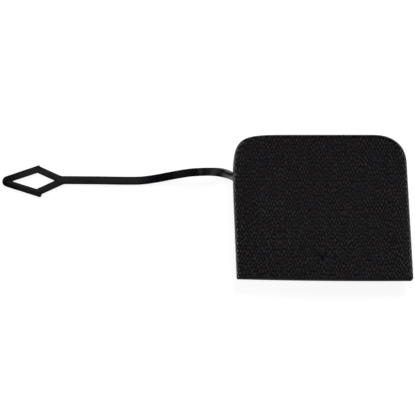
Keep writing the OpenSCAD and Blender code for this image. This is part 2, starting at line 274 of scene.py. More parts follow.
@dataclass(frozen=True)
class FaceShape:
    """The outline and crown of the face, which the rest of the moulding follows."""

    width: float = 87.8
    height: float = 73.2
    wall: float = 2.5
    lean_left: float = 2.3
    lean_right: float = 3.35
    bottom_rise: float = 0.9
    bottom_bow: float = 0.35
    crown_x: float = 1.2
    crown_y: float = 0.8
    skirt_depth: float = 5.0
    corners: tuple[Corner, ...] = (
        Corner(0.6, 0.6, 0.55),
        Corner(2, 2, 0.55),
        Corner(14, 16, 0.63),
        Corner(29, 38, 1.0),
    )
    least_corner: float = 0.2
    corner_steps: int = 60
    side_steps: int = 24

    def left_x(self, y: float) -> float:
        """Place of the left side at a height."""
        return -self.width / 2 - y * math.tan(math.radians(self.lean_left))

    def right_x(self, y: float) -> float:
        """Place of the right side at a height."""
        return self.width / 2 - y * math.tan(math.radians(self.lean_right))

    def frame_corner(self, n: int) -> np.ndarray:
        """Corner n of the face before it is rounded."""
        top, low = self.height / 2, -self.height / 2
        left_low = low + self.bottom_rise
        places = (
            (self.left_x(left_low), left_low),
            (self.right_x(low), low),
            (self.right_x(top), top),
            (self.left_x(top), top),
        )
        return np.array(places[n % 4])

    def bottom_y(self, x: float) -> float:
        """Height of the bottom edge at a distance across the face."""
        start, end = self.frame_corner(0), self.frame_corner(1)
        t = (x - start[0]) / (end[0] - start[0])
        return start[1] * (1 - t) + end[1] * t - self.bottom_bow * 4 * t * (1 - t)

    def along(self, side: int) -> np.ndarray:
        """Direction of a side."""
        return unit(self.frame_corner(side + 1) - self.frame_corner(side))

    def inward(self, side: int) -> np.ndarray:
        """Normal of a side, into the face."""
        d = self.along(side)
        return np.array([-d[1], d[0]])

    def corner_curve(self, n: int, inset: Sequence[float]) -> np.ndarray:
        """The rounded corner n of the outline.

        Args:
            n: the corner's number, which is that of the side it starts.
            inset: distance inwards on each side.

        Returns:
            Rows of x, y and the place along the outline, where 4.5 is halfway round the
            corner from side 0 to side 1.
        """
        before = (n + 3) % 4
        p = offset_meet(self.frame_corner(n), self.inward(before), inset[before], self.inward(n), inset[n])
        shape = self.corners[n]
        shrink = 8 * (math.sqrt(2) - 1) / math.sqrt(2) / (4 - 3 * shape.fullness)
        start = -self.along(before) * max(self.least_corner, shape.before - shrink * inset[n])
        end = self.along(n) * max(self.least_corner, shape.after - shrink * inset[before])
        t = np.linspace(0, 1, self.corner_steps + 1)[:, None]
        near = 1 - shape.fullness
        curve = (1 - t) ** 3 * start + 3 * (1 - t) ** 2 * t * start * near + 3 * (1 - t) * t**2 * end * near + t**3 * end
        return np.hstack([p + curve, n + 3 + t])

    def side_points(self, side: int, start: np.ndarray, end: np.ndarray) -> np.ndarray:
        """The points of a side between two corners, with its bow."""
        t = np.linspace(0, 1, self.side_steps + 1)[1:-1, None]
        bow = self.bottom_bow if side == Side.BOTTOM else 0.0
        flat = start[:2] * (1 - t) + end[:2] * t - self.inward(side) * bow * 4 * t * (1 - t)
        return np.hstack([flat, np.full_like(t, side + 4)])

    def ring(self, inset: Sequence[float], counts: Sequence[int]) -> np.ndarray:
        """The outline in even steps, from the middle of the bottom left corner.

        Args:
            inset: distance inwards on each side.
            counts: steps on each side, from the middle of one corner to that of the next.

        Returns:
            Rows of x, y and place.
        """
        curves = [self.corner_curve(n, inset) for n in range(4)]
        half = self.corner_steps // 2
        parts = []
        for side, count in enumerate(counts):
            here, after = curves[side], curves[(side + 1) % 4].copy()
            if side == Side.LEFT:
                after[:, 2] += 4
            path = np.vstack([here[half:], self.side_points(side, here[-1], after[0]), after[: half + 1]])
            run = np.concatenate([[0], np.cumsum(np.linalg.norm(np.diff(path[:, :2], axis=0), axis=1))])
            at = np.linspace(0, run[-1], count + 1)[:-1]
            parts.append(np.column_stack([np.interp(at, run, path[:, k]) for k in range(3)]))
        return np.vstack(parts)

    def height_at(self, x: np.ndarray, y: np.ndarray) -> np.ndarray:
        """Height of the face above the rim of the skirt."""
        crown = self.crown_x * (2 * x / self.width) ** 2 + self.crown_y * (2 * y / self.height) ** 2
        return self.skirt_depth + self.wall - crown

    def lay(self, ring: np.ndarray, depths: Sequence[float]) -> np.ndarray:
        """Lays a ring below the face, at its own depth on each side."""
        depth = self.at_place(depths, ring[:, 2])
        return np.column_stack([ring[:, 0], ring[:, 1], self.height_at(ring[:, 0], ring[:, 1]) - depth])

    @staticmethod
    def at_place(values: Sequence[float], place: np.ndarray) -> np.ndarray:
        """Values for places on the outline, mixed round the corners."""
        side = np.floor(place).astype(int)
        t = smooth(place - side)
        v = np.array(values, float)
        return v[side % 4] * (1 - t) + v[(side + 1) % 4] * t


# The moulding, part by part


@dataclass
class FacePlate:
    """The crowned face with its rolled edges, and the plain back of the plate."""

    shape: FaceShape
    roll_width: tuple[float, ...] = (1.5, 4.0, 1.75, 1.7)
    roll_drop: tuple[float, ...] = (1.3, 2.4, 1.3, 1.3)
    lip_right: float = 1.1
    lip_wall: float = 1.3
    lip_draft: float = 0.4
    rim_round: float = 0.2
    counts: tuple[int, ...] = (232, 178, 232, 178)
    block_inset: float = 12.0
    ring_gap: float = 0.34
    roll_steps: int = 12
    back_counts: tuple[int, ...] = (24, 20, 24, 20)
    back_gap: float = 3.0
    grain_name: str = "grain"

    def build(self) -> bpy.types.Object:
        """Builds the plate as a closed solid, with a grain weight at each vertex.

        Returns:
            The plate. Its vertices carry the share of the grain that they take.
        """
        plate, rim = self.sheet("face", 0.0, self.counts, self.roll_width, self.ring_gap)
        for ring, grain in self.edge_rings():
            rim = self.extrude_rim(plate, rim, ring, grain)
        back, _ = self.sheet("back", self.shape.wall, self.back_counts, (self.back_gap,) * 4, self.back_gap)
        pick(plate)
        back.select_set(True)
        bpy.ops.object.join()
        with editing(plate) as mesh:
            bpy.ops.mesh.select_mode(type="EDGE")
            bpy.ops.mesh.select_all(action="DESELECT")
            for edge in mesh.edges:
                edge.select_set(edge.is_boundary)
            bpy.ops.mesh.bridge_edge_loops()
        turn_faces_out(plate)
        self.dress(plate)
        return plate

    def sheet(
        self, name: str, depth: float, counts: Sequence[int], inset: Sequence[float], gap: float
    ) -> tuple[bpy.types.Object, np.ndarray]:
        """A crowned sheet: an even grid in the middle, with rings round it to the outline.

        Args:
            name: the new object's name.
            depth: depth of the sheet below the face.
            counts: steps on each side.
            inset: distance of its outline from that of the face, on each side.
            gap: distance between rings.

        Returns:
            The open sheet and the points of its outline.
        """
        shape, flat = self.shape, (depth,) * 4
        block = shape.ring([i + self.block_inset for i in inset], counts)
        nx, ny = counts[0], counts[1]
        low, right = block[: nx + 1, :2], block[nx : nx + ny + 1, :2]
        top = block[nx + ny : 2 * nx + ny + 1, :2][::-1]
        left = np.vstack([block[2 * nx + ny :, :2], block[:1, :2]])[::-1]

        deselect()
        bpy.ops.mesh.primitive_grid_add(x_subdivisions=nx, y_subdivisions=ny, size=2)
        obj = bpy.context.active_object
        obj.name = name
        place = np.empty(len(obj.data.vertices) * 3)
        obj.data.vertices.foreach_get("co", place)
        place = (place.reshape(-1, 3)[:, :2] + 1) / 2
        i, j = np.rint(place[:, 0] * nx).astype(int), np.rint(place[:, 1] * ny).astype(int)
        u, v = (i / nx)[:, None], (j / ny)[:, None]
        across = low[i] * (1 - v) + top[i] * v
        up = left[j] * (1 - u) + right[j] * u
        twist = (low[0] * (1 - u) + low[-1] * u) * (1 - v) + (top[0] * (1 - u) + top[-1] * u) * v
        xy = across + up - twist
        xyz = np.column_stack([xy, shape.height_at(xy[:, 0], xy[:, 1]) - depth])
        obj.data.vertices.foreach_set("co", (xyz * MM).ravel())
        weights = obj.data.attributes.new(self.grain_name, "FLOAT", "POINT")
        weights.data.foreach_set("value", np.ones(len(xyz)) if depth == 0 else np.zeros(len(xyz)))

        rim = shape.lay(block, flat)
        steps = max(2, round(self.block_inset / gap))
        for s in range(steps - 1, -1, -1):
            ring = shape.ring([i + self.block_inset * s / steps for i in inset], counts)
            rim = self.extrude_rim(obj, rim, shape.lay(ring, flat), 1.0 if depth == 0 else 0.0)
        return obj, rim

    def extrude_rim(
        self, obj: bpy.types.Object, rim: np.ndarray, ring: np.ndarray, grain: np.ndarray | float
    ) -> np.ndarray:
        """Extrudes the open edge of a sheet onto its next ring.

        Args:
            obj: the open sheet.
            rim: the points of its open edge.
            ring: where each of these points goes.
            grain: share of the grain that the new points take.

        Returns:
            The new open edge, which is the ring.
        """
        tree = KDTree(len(rim))
        for index, point in enumerate(rim * MM):
            tree.insert(Vector(point), index)
        tree.balance()
        shares = np.broadcast_to(grain, len(ring))
        with editing(obj) as mesh:
            bpy.ops.mesh.select_mode(type="EDGE")
            bpy.ops.mesh.select_all(action="DESELECT")
            for edge in mesh.edges:
                if edge.is_boundary:
                    edge.select_set(True)
            bpy.ops.mesh.extrude_region_move()
            mesh = bmesh.from_edit_mesh(obj.data)
            layer = mesh.verts.layers.float.get(self.grain_name)
            for vertex in mesh.verts:
                if vertex.select:
                    index = tree.find(vertex.co)[1]
                    vertex.co = ring[index] * MM
                    vertex[layer] = float(shares[index])
        return ring

    def edge_rings(self) -> Iterator[tuple[np.ndarray, np.ndarray]]:
        """The rings of the rolled edge, the side, the rim and the inner wall of the lip.

        Returns:
            Each ring's points, and the share of the grain that they take.
        """
        shape, counts = self.shape, self.counts
        width, drop = np.array(self.roll_width), np.array(self.roll_drop)
        edge = np.array([shape.wall + (self.lip_right if s == Side.RIGHT else 0) for s in Side])
        for s in range(1, self.roll_steps + 1):
            a = math.pi / 2 * (1 - s / self.roll_steps)
            ring = shape.ring(width * (1 - math.cos(a)), counts)
            fade = 1 - smooth((s / self.roll_steps - 0.7) / 0.3)
            grain = shape.at_place((0, 1, 1, 1), ring[:, 2]) * fade
            yield shape.lay(ring, drop * (1 - math.sin(a))), grain
        none = np.zeros(sum(counts))
        for s in range(4):
            a = math.pi / 2 * s / 3
            inset, depth = self.rim_round * (1 - math.cos(a)), edge - self.rim_round * (1 - math.sin(a))
            yield shape.lay(shape.ring([inset] * 4, counts), depth), none
        yield shape.lay(shape.ring([self.lip_wall] * 4, counts), edge), none
        yield shape.lay(shape.ring([self.lip_wall + self.lip_draft] * 4, counts), [shape.wall] * 4), none

    def dress(self, plate: bpy.types.Object) -> None:
        """Marks each face of the plate as grained or smooth, from its vertices' weights."""
        mesh = plate.data
        weights = np.empty(len(mesh.vertices))
        mesh.attributes[self.grain_name].data.foreach_get("value", weights)
        texture = [
            Texture.GRAINED if min(weights[v] for v in face.vertices) > 0.01 else Texture.SMOOTH for face in mesh.polygons
        ]
        mesh.polygons.foreach_set("material_index", np.array(texture, dtype=np.int32))


@dataclass
class PressMark:
    """The small triangle in the face that shows where to press."""

    shape: FaceShape
    width: float = 7.3
    height: float = 5.0
    depth: float = 0.5
    above_edge: float = 9.95
    off_centre: float = 0.4
    floor_share: float = 0.8
    corner_round: float = 0.35

    def build(self) -> bpy.types.Object:
        """Builds the tapered triangle that is cut out of the face.

        Returns:
            The tool, twice as high as the mark is deep.
        """
        x, y = self.off_centre, self.shape.bottom_y(0) + self.above_edge + self.height / 2
        low = float(self.shape.height_at(x, y)) - self.depth
        half_w, half_h = self.width / 2, self.height / 2
        radii = [self.corner_round] * 3
        flat = rounded([(-half_w, half_h), (0, -half_h), (half_w, half_h)], radii) * self.floor_share
        floor = np.column_stack([flat + (x, y), np.full(len(flat), low)])
        tool = prism("mark", floor, (0, 0, 2 * self.depth))
        grow = 2 / self.floor_share - 1
        for vertex in tool.data.vertices:
            if vertex.co.z > (low + self.depth) * MM:
                vertex.co.x = x * MM + (vertex.co.x - x * MM) * grow
                vertex.co.y = y * MM + (vertex.co.y - y * MM) * grow
        dress_all(tool, Texture.SMOOTH)
        return tool


@dataclass
class Skirt:
    """The wall that bears on the bumper's ledge, with the grid of ribs inside it."""

    shape: FaceShape
    inset: float = 2.4
    wall: float = 1.6
    rib_wall: float = 1.2
    rib_depth: float = 3.0
    rib_columns: int = 5
    rib_rows: int = 3
    rim_round: float = 0.2
    rib_round: float = 0.25
    counts: tuple[int, ...] = (60, 60, 80, 80)

    def tube(self, name: str, inset: float, low: float, high: float) -> bpy.types.Object:
        """A solid of the face's outline, inset evenly, between two heights."""
        ring = self.shape.ring([inset] * 4, self.counts)
        outline = np.column_stack([ring[:, :2], np.full(len(ring), low)])
        return prism(name, outline, (0, 0, high - low))

    def build(self) -> bpy.types.Object:
        """Builds the skirt and its ribs, up to the middle of the plate's wall.

        Returns:
            The joined solid.
        """
        shape = self.shape
        top = shape.skirt_depth + shape.wall
        wall = self.tube("skirt", self.inset, 0, top)
        combine(wall, self.tube("hollow", self.inset + self.wall, -1, top + 1), Cut.TAKE)
        ease(wall, self.rim_round)
        rib_low = shape.skirt_depth - self.rib_depth
        half = self.rib_wall / 2
        ribs = []
        for i in range(1, self.rib_columns + 1):
            x = shape.width * (i / (self.rib_columns + 1) - 0.5)
            ribs.append(bar("rib", (x - half, -shape.height / 2, rib_low), (x + half, shape.height / 2, top)))
        for i in range(1, self.rib_rows + 1):
            y = shape.height * (i / (self.rib_rows + 1) - 0.5)
            ribs.append(bar("rib", (-shape.width / 2, y - half, rib_low), (shape.width / 2, y + half, top)))
        grid = ribs[0]
        for rib in ribs[1:]:
            combine(grid, rib, Cut.ADD)
        ease(grid, self.rib_round)
        combine(grid, self.tube("inside", self.inset + self.wall / 2, rib_low - 1, top + 1), Cut.KEEP)
        combine(wall, grid, Cut.ADD)
        dress_all(wall, Texture.SMOOTH)
        return wall


@dataclass
class Hooks:
    """The two rigid hooks under the top edge and the snap arm under the bottom edge."""

    shape: FaceShape
    skirt: Skirt
    ledge: float = 3.0
    ledge_clear: float = 0.2
    ledge_lap: float = 1.5
    reach: float = 3.0
    thickness: float = 2.2
    depth: float = 8.0
    nose: float = 1.0
    tip_round: float = 0.6
    nose_round: float = 0.4
    back_round: float = 0.3
    hook_width: float = 9.0
    pitch: float = 44.0
    snap_width: float = 16.0
    gusset_length: float = 6.0
    edge_round: float = 0.25

    @property
    def grip(self) -> float:
        """Height of the faces that grip the ledge."""
        return -self.ledge - self.ledge_clear

    @property
    def face_inset(self) -> float:
        """Distance of a hook's outer face from the edge of the face."""
        return self.skirt.inset + self.skirt.wall + self.ledge_lap

    def hook(self, width: float, x: float, y: float, facing: int) -> bpy.types.Object:
        """One hook: its stem, its nose and the ramp that leads it in.

        Args:
            width: its width.
            x: place of its middle.
            y: place of its outer face.
            facing: 1 where it grips towards +Y, and -1 where it grips towards -Y.

        Returns:
            The hook, up into the plate's wall.
        """
        top = self.shape.skirt_depth + self.shape.wall
        profile = rounded(
            [
                (-self.thickness, top), (-self.thickness, -self.depth), (-self.tip_round, -self.depth),
                (self.reach, self.grip - self.nose), (self.reach, self.grip), (0, self.grip), (0, top),
            ],
            [0, self.back_round, self.tip_round, self.nose_round, self.nose_round / 2, self.nose_round, 0],
        )
        outline = np.column_stack([np.full(len(profile), x - width / 2), y + facing * profile[:, 0], profile[:, 1]])
        hook = prism("hook", outline, (width, 0, 0))
        ease(hook, self.edge_round)
        return hook

    def gusset(self, x: float, y: float) -> bpy.types.Object:
        """The web behind a rigid hook, which tapers from the plate down its stem."""
        top = self.shape.skirt_depth + self.shape.wall
        start, half = y - self.thickness / 2, self.skirt.rib_wall / 2
        low = self.shape.skirt_depth - self.skirt.rib_depth
        corners = [(start, self.grip), (start, top), (start - self.gusset_length, top), (start - self.gusset_length, low)]
        web = prism("gusset", np.array([(x - half, a, b) for a, b in corners]), (2 * half, 0, 0))
        ease(web, self.edge_round, angle=30)
        return web

    def build(self) -> bpy.types.Object:
        """Builds the hooks, the webs and the snap arm.

        Returns:
            All of them, joined.
        """
        top_face = self.shape.height / 2 - self.face_inset
        low_face = self.shape.bottom_y(0) + self.face_inset
        group = self.hook(self.snap_width, 0, low_face, -1)
        for side in (-1, 1):
            x = side * self.pitch / 2
            combine(group, self.hook(self.hook_width, x, top_face, 1), Cut.ADD)
            for edge in (-1, 1):
                web_x = x + edge * (self.hook_width - self.skirt.rib_wall) / 2
                combine(group, self.gusset(web_x, top_face), Cut.ADD)
        dress_all(group, Texture.SMOOTH)
        return group


@dataclass
class Strap:
    """The retaining strap, bent as it lies, and the post that carries its root."""

    shape: FaceShape
    rest: float = -8.0
    width: float = 4.1
    root_width: float = 4.8
    thickness: float = 2.0
    edge_round: float = 0.4
    height_on_face: float = 16.0
    reach: float = 85.15
    crest: float = 8.9
    loop_thickness: float = 2.2
    root_gap: float = 2.15
    roll_from: float = -8.0
    roll_to: float = 13.0
    span_steps: int = 12
    post_length: float = 8.5
    post_wall: float = 0.6
    post_round: float = 0.3

    def route(self) -> np.ndarray:
        """The points that the strap passes through, from its root to the loop."""
        root = -self.rest - self.root_gap - self.root_width / 2
        flat, crest = self.loop_thickness / 2, self.crest
        points = np.array([
            (-10.5, -6.4, root), (-6, -4.6, root), (-1.8, -1.9, root + 0.1), (2.4, 0.7, root + 0.9),
            (7.2, 1.9, root + 2.4), (12.2, 2.15, crest - 0.8), (17, 2, crest), (22.6, 1.6, crest - 1.5),
            (30.6, 0.3, 0.45 * crest + 0.4), (38.6, -1.2, flat + 1.2), (46, -2.2, flat + 0.2),
            (54, -2.35, flat), (68, -2.15, flat), (self.reach, -2, flat),
        ])
        x = -self.shape.width / 2 - points[:, 0]
        return np.column_stack([x, points[:, 1] + self.height_on_face, points[:, 2] + self.rest])

    def line(self) -> np.ndarray:
        """The smooth line through the route's points."""
        points = self.route()
        points = np.vstack([2 * points[0] - points[1], points, 2 * points[-1] - points[-2]])
        out = []
        for a, b, c, d in zip(points, points[1:], points[2:], points[3:]):
            for s in range(self.span_steps):
                t = s / self.span_steps
                bend = (2 * a - 5 * b + 4 * c - d) * t**2 + (3 * b - a - 3 * c + d) * t**3
                out.append((2 * b + (c - a) * t + bend) / 2)
        return np.array(out + [points[-2]])

    def section(self, line: np.ndarray, i: int, flat: np.ndarray) -> np.ndarray:
        """The strap's section at a point of its line: flat along its run, on edge at its root."""
        p = line[i]
        ahead = unit(line[min(i + 1, len(line) - 1)] - line[max(i - 1, 0)])
        out = -p[0] - self.shape.width / 2
        bent = 1 - float(smooth((out - self.roll_from) / (self.roll_to - self.roll_from)))
        roll = math.pi / 2 * bent
        side = unit(np.cross(ahead, (0, 0, 1)))
        up = np.cross(side, ahead)
        across = side * math.cos(roll) + up * math.sin(roll)
        outward = up * math.cos(roll) - side * math.sin(roll)
        flare = 1 + bent * (self.root_width / self.width - 1)
        return p + flat[:, :1] * flare * across + flat[:, 1:] * outward

    def build(self) -> bpy.types.Object:
        """Sweeps the strap's section along its line.

        Returns:
            The closed strap.
        """
        w, t = self.width / 2, self.thickness / 2
        flat = rounded([(-w, -t), (w, -t), (w, t), (-w, t)], [self.edge_round] * 4, 4)
        line = self.line()
        rings = [self.section(line, i, flat) for i in range(len(line))]
        deselect()
        bpy.ops.mesh.primitive_circle_add(vertices=len(flat), radius=1, fill_type="NGON")
        strap = bpy.context.active_object
        strap.name = "strap"
        strap.data.vertices.foreach_set("co", (rings[0] * MM).ravel())
        with editing(strap):
            for before, ring in zip(rings, rings[1:]):
                bpy.ops.mesh.extrude_region_move()
                for vertex in bmesh.from_edit_mesh(strap.data).verts:
                    if vertex.select:
                        near = np.sum((before * MM - np.array(vertex.co)) ** 2, axis=1)
                        vertex.co = ring[int(np.argmin(near))] * MM
        turn_faces_out(strap)
        dress_all(strap, Texture.SMOOTH)
        return strap

    def post(self) -> bpy.types.Object:
        """The post inside the skirt, turned in line with the strap's root."""
        points = self.route()
        root, heading = points[0], unit(points[0][:2] - points[1][:2])
        aside = np.array([-heading[1], heading[0]])
        half_l, half_w = self.post_length / 2, self.thickness / 2 + self.post_wall
        low = root[2] - self.root_width / 2 - self.post_wall / 2
        ends = [(-half_l, -half_w), (half_l, -half_w), (half_l, half_w), (-half_l, half_w)]
        outline = np.array([(*(root[:2] + a * heading + b * aside), low) for a, b in ends])
        post = prism("post", outline, (0, 0, self.shape.skirt_depth + self.shape.wall - low))
        ease(post, self.post_round)
        dress_all(post, Texture.SMOOTH)
        return post


@dataclass
class DiamondLoop:
    """The flat diamond at the strap's end, with a catch on two of its corners."""

    strap: Strap
    hole_length: float = 21.15
    hole_width: float = 8.0
    low_peak: float = 9.1
    high_peak: float = 8.5
    hole_at: float = 4.65
    bar: float = 3.5
    tip_round: float = 2.72
    catch_low: float = 2.1
    catch_high: float = 0.7
    catch_slope: float = 0.4
    drop: float = 0.25
    turn: float = 0.8
    stub_length: float = 2.2
    stub_inset: float = 0.3
    swell_length: float = 14.0
    swell: float = 0.5
    neck_round: float = 7.0
    foot_round: float = 0.3
    crest_round: float = 0.5
    low_foot_round: float = 0.6
    low_crest_round: float = 0.9
    hole_tip_round: float = 0.12
    edge_round: float = 0.3

    def half(self, hole_peak: float, catch: float, back: float, swell: float) -> list[tuple[float, float]]:
        """Outer corners of the upper half, from the strap's end to the tip.

        Args:
            hole_peak: place of the hole's widest point, from its end at the strap.
            catch: height of the catch on the corner.
            back: how far the half reaches back inside the strap.
            swell: how much wider it is at the neck than at its start.

        Returns:
            The corners, with x away from the strap.
        """
        near = unit(np.array([hole_peak, self.hole_width / 2]))
        far = unit(np.array([self.hole_length - hole_peak, -self.hole_width / 2]))
        stub = self.strap.width / 2 - self.stub_inset
        hole_top = np.array([self.hole_at + hole_peak, self.hole_width / 2])
        peak = offset_meet(hole_top, np.array([-near[1], near[0]]), self.bar, np.array([-far[1], far[0]]), self.bar)
        crest = peak - far * catch
        foot_x = crest[0] - self.catch_slope
        foot_y = peak[1] - (peak[0] - foot_x) * near[1] / near[0]
        neck_x = foot_x - (foot_y - stub - swell) * near[0] / near[1]
        tip_x = peak[0] + peak[1] * far[0] / -far[1]
        neck = (neck_x, stub + swell)
        return [(-back, stub), neck, (foot_x, foot_y), (crest[0], crest[1]), (tip_x, 0.0)]

    def placed(self, flat: np.ndarray, height: float) -> np.ndarray:
        """Turns a flat outline at the strap's end into its place."""
        a = math.radians(self.turn)
        x, y = -flat[:, 0], flat[:, 1]
        end = self.strap.route()[-1]
        px = end[0] + x * math.cos(a) - y * math.sin(a)
        py = end[1] - self.drop + x * math.sin(a) + y * math.cos(a)
        return np.column_stack([px, py, np.full(len(flat), height)])

    def build(self) -> bpy.types.Object:
        """Builds the loop and rounds its edges.

        Returns:
            The closed loop, with its stub inside the strap's end.
        """
        upper = self.half(self.high_peak, self.catch_high, self.swell_length, self.swell)
        lower = [(x, -y) for x, y in self.half(self.low_peak, self.catch_low, self.stub_length, 0.0)]
        low = [0, self.neck_round, self.low_foot_round, self.low_crest_round]
        high = [self.crest_round, self.foot_round, self.neck_round, 0]
        outer = rounded(lower + upper[3::-1], low + [self.tip_round] + high, 10)
        start, half_width = self.hole_at, self.hole_width / 2
        peaks = (start + self.low_peak, -half_width), (start + self.high_peak, half_width)
        tips = (start, 0), (start + self.hole_length, 0)
        hole = rounded([tips[0], peaks[0], tips[1], peaks[1]], [self.hole_tip_round, self.crest_round] * 2)
        thick, rest = self.strap.loop_thickness, self.strap.rest
        loop = prism("loop", self.placed(outer, rest), (0, 0, thick))
        combine(loop, prism("hole", self.placed(hole, rest - 1), (0, 0, thick + 2)), Cut.TAKE)
        ease(loop, self.edge_round, 3)
        dress_all(loop, Texture.SMOOTH)
        return loop


# Finishes


def link(tree: bpy.types.NodeTree, kind: str, **inputs: object) -> bpy.types.Node:
    """Adds a node and sets or links its inputs.

    Args:
        tree: the node tree.
        kind: the node's type.
        inputs: values or sockets by input name, with _ for a space, or in0, in1 by place.

    Returns:
        The new node.
    """
    node = tree.nodes.new(kind)
    for name, value in inputs.items():
        key: int | str = int(name[2:]) if name[:2] == "in" and name[2:].isdigit() else name.replace("_", " ")
        socket = node.inputs[key]
        if isinstance(value, bpy.types.NodeSocket):
            tree.links.new(value, socket)
        else:
            socket.default_value = value
    return node


def maths(tree: bpy.types.NodeTree, operation: str, *values: object) -> bpy.types.NodeSocket:
    """Adds a Math node and returns its result."""
    node = link(tree, "ShaderNodeMath", **{f"in{i}": v for i, v in enumerate(values)})
    node.operation = operation
    return node.outputs[0]


@dataclass(frozen=True)
class Grain:
    """The leather-like grain of the mould, the same in the mesh and in the material."""

    spacing: tuple[float, float] = (1.45, 3.6)
    disorder: float = 0.6
    warp_size: float = 1.6
    warp: float = 0.2
    flank: float = 0.46
    mesh_depth: float = 0.06
    bump_depth: float = 0.13

    def height(self, tree: bpy.types.NodeTree, place: bpy.types.NodeSocket) -> bpy.types.NodeSocket:
        """Adds the nodes of the grain to a tree of either kind.

        Args:
            tree: a material's or a modifier's node tree.
            place: the position on the object, in metres.

        Returns:
            The height of the grain, from 0 in the creases to 1 on the pebbles.
        """
        scaled = tree.nodes.new("ShaderNodeVectorMath")
        scaled.operation = "MULTIPLY"
        tree.links.new(place, scaled.inputs[0])
        scaled.inputs[1].default_value = [math.sqrt(2) / (c * MM) for c in self.spacing] + [0]
        staggered = link(tree, "ShaderNodeVectorRotate", Vector=scaled.outputs[0], Angle=math.radians(45))
        waves = link(tree, "ShaderNodeTexNoise", Vector=staggered.outputs[0], Scale=1 / self.warp_size, Detail=1.0)
        offset = tree.nodes.new("ShaderNodeVectorMath")
        offset.operation = "MULTIPLY_ADD"
        tree.links.new(waves.outputs["Color"], offset.inputs[0])
        offset.inputs[1].default_value = [2 * self.warp] * 3
        tree.links.new(staggered.outputs[0], offset.inputs[2])
        cells = tree.nodes.new("ShaderNodeTexVoronoi")
        cells.voronoi_dimensions = "2D"
        cells.feature = "DISTANCE_TO_EDGE"
        tree.links.new(offset.outputs[0], cells.inputs["Vector"])
        cells.inputs["Scale"].default_value = 1.0
        cells.inputs["Randomness"].default_value = self.disorder
        rise = link(tree, "ShaderNodeMapRange", Value=cells.outputs["Distance"])
        rise.inputs["From Max"].default_value = self.flank
        rise.interpolation_type = "SMOOTHSTEP"
        return rise.outputs["Result"]

    def press(self, obj: bpy.types.Object, weight: str) -> None:
        """Presses the grain into a mesh, where its vertices carry weight.

        Args:
            obj: the mesh.
            weight: name of the attribute that holds each vertex's share.
        """
        tree = bpy.data.node_groups.new("Grain", "GeometryNodeTree")
        tree.interface.new_socket("Geometry", in_out="INPUT", socket_type="NodeSocketGeometry")
        tree.interface.new_socket("Geometry", in_out="OUTPUT", socket_type="NodeSocketGeometry")
        source, result = tree.nodes.new("NodeGroupInput"), tree.nodes.new("NodeGroupOutput")
        place = tree.nodes.new("GeometryNodeInputPosition").outputs[0]
        normal = tree.nodes.new("GeometryNodeInputNormal").outputs[0]
        share = link(tree, "GeometryNodeInputNamedAttribute", Name=weight)
        sink = maths(tree, "SUBTRACT", self.height(tree, place), 1.0)
        sink = maths(tree, "MULTIPLY", sink, share.outputs["Attribute"])
        push = tree.nodes.new("ShaderNodeVectorMath")
        push.operation = "SCALE"
        tree.links.new(normal, push.inputs[0])
        tree.links.new(maths(tree, "MULTIPLY", sink, self.mesh_depth * MM), push.inputs["Scale"])
        move = link(tree, "GeometryNodeSetPosition", Geometry=source.outputs[0], Offset=push.outputs[0])
        tree.links.new(move.outputs[0], result.inputs[0])
        pick(obj)
        modifier = obj.modifiers.new("Grain", "NODES")
        modifier.node_group = tree
        bpy.ops.object.modifier_apply(modifier=modifier.name)
        bpy.data.node_groups.remove(tree)


@dataclass(frozen=True)
class PaintedRootHighlight:
    """A painted highlight: the pale patch painted on the black plastic at the edges of the strap's root, where its
    turned sides catch the light.
    """

    colour: tuple[float, float, float] = (0.36, 0.325, 0.3)
    place: tuple[float, float, float] = (-43.6, 15.6, -4.0)
    core: float = 2.6
    reach: float = 8.0
    streak_size: float = 0.7
    # a line through the painted highlight where the plastic keeps its own black
    black_line: tuple[tuple[float, float], tuple[float, float]] = ((-48.6, 18.1), (-45.1, 16.5))
    line_core: float = 0.3
    line_reach: float = 1.1

    def share(self, tree: bpy.types.NodeTree, place: bpy.types.NodeSocket) -> bpy.types.NodeSocket:
        """Adds the nodes of the painted highlight.

        Args:
            tree: the material's node tree.
            place: the position on the object, in metres.

        Returns:
            The painted highlight's share of the colour, from 0 to 1.
        """
        away = tree.nodes.new("ShaderNodeVectorMath")
        away.operation = "DISTANCE"
        tree.links.new(place, away.inputs[0])
        away.inputs[1].default_value = [p * MM for p in self.place]
        fade = link(tree, "ShaderNodeMapRange", Value=away.outputs["Value"])
        fade.interpolation_type = "SMOOTHSTEP"
        fade.inputs["From Min"].default_value = self.reach * MM
        fade.inputs["From Max"].default_value = self.core * MM
        streaks = link(tree, "ShaderNodeTexNoise", Vector=place, Scale=1 / (self.streak_size * MM), Detail=2.0)
        uneven = link(tree, "ShaderNodeMapRange", Value=streaks.outputs["Fac"])
        uneven.inputs["To Min"].default_value = 0.6
        patch = maths(tree, "MULTIPLY", fade.outputs["Result"], uneven.outputs["Result"])

        start, end = Vector(self.black_line[0]) * MM, Vector(self.black_line[1]) * MM
        across = (end - start).orthogonal().normalized()
        side = tree.nodes.new("ShaderNodeVectorMath")
        side.operation = "DOT_PRODUCT"
        tree.links.new(place, side.inputs[0])
        side.inputs[1].default_value = (*across, 0)
        gap = maths(tree, "ABSOLUTE", maths(tree, "SUBTRACT", side.outputs["Value"], across.dot(start)))
        edges = link(tree, "ShaderNodeMapRange", Value=gap)
        edges.interpolation_type = "SMOOTHSTEP"
        edges.inputs["From Min"].default_value = self.line_core * MM
        edges.inputs["From Max"].default_value = self.line_reach * MM
        return maths(tree, "MULTIPLY", patch, edges.outputs["Result"])


